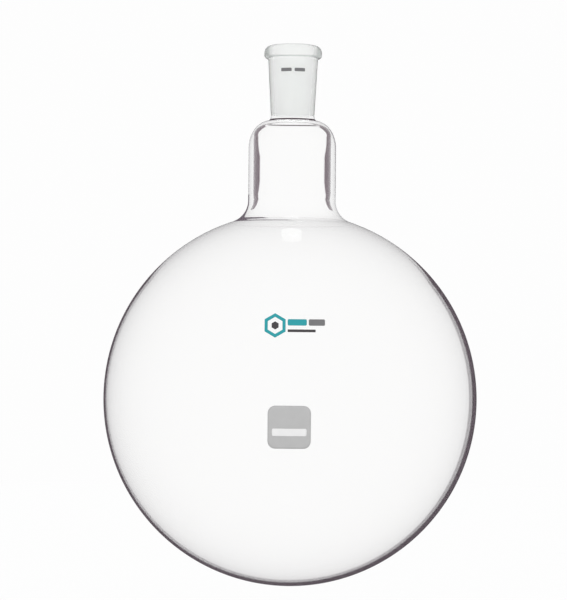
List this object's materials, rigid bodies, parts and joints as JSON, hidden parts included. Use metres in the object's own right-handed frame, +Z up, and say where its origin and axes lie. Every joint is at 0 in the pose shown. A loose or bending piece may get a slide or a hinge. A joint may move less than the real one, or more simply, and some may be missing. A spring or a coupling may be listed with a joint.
{
  "type": "round bottom flask",
  "caption": "Round bottom flask: spherical glass bulb, short wide neck with rounded shoulders, and a narrower ground socket joint with a beaded rim.",
  "frame": {"origin": "lowest point of the bulb, on the flask's axis", "axes": "+Z up the axis towards the mouth, -Y towards the side with the enamel marks, +X to the right when facing the marks"},
  "size_m": [0.166, 0.1663, 0.2402],
  "materials": {
    "clear_glass": "clear fire-polished borosilicate glass",
    "frosted_glass": "ground inside, so it looks white and frosted",
    "rim_glass": "clear tooled bead over the ground bore",
    "grey_enamel": "fired enamel, matte light grey",
    "white_enamel": "fired enamel, matte white",
    "teal_enamel": "fired enamel, satin teal",
    "mid_grey_enamel": "fired enamel, matte mid grey",
    "dark_enamel": "fired enamel, matte dark grey"
  },
  "bodies": {
    "root": {"bulb": "clear_glass", "neck_weld": "clear_glass", "neck": "clear_glass", "shoulder": "clear_glass", "joint_weld": "clear_glass", "ground_joint": "frosted_glass", "joint_rim": "rim_glass", "writing_patch": "grey_enamel", "writing_patch_band": "white_enamel", "emblem_ring": "teal_enamel", "emblem_dot": "dark_enamel", "emblem_bar_teal": "teal_enamel", "emblem_bar_grey": "mid_grey_enamel", "emblem_bar_dark": "dark_enamel", "joint_mark_left": "mid_grey_enamel", "joint_mark_right": "mid_grey_enamel"}
  },
  "joints": []
}
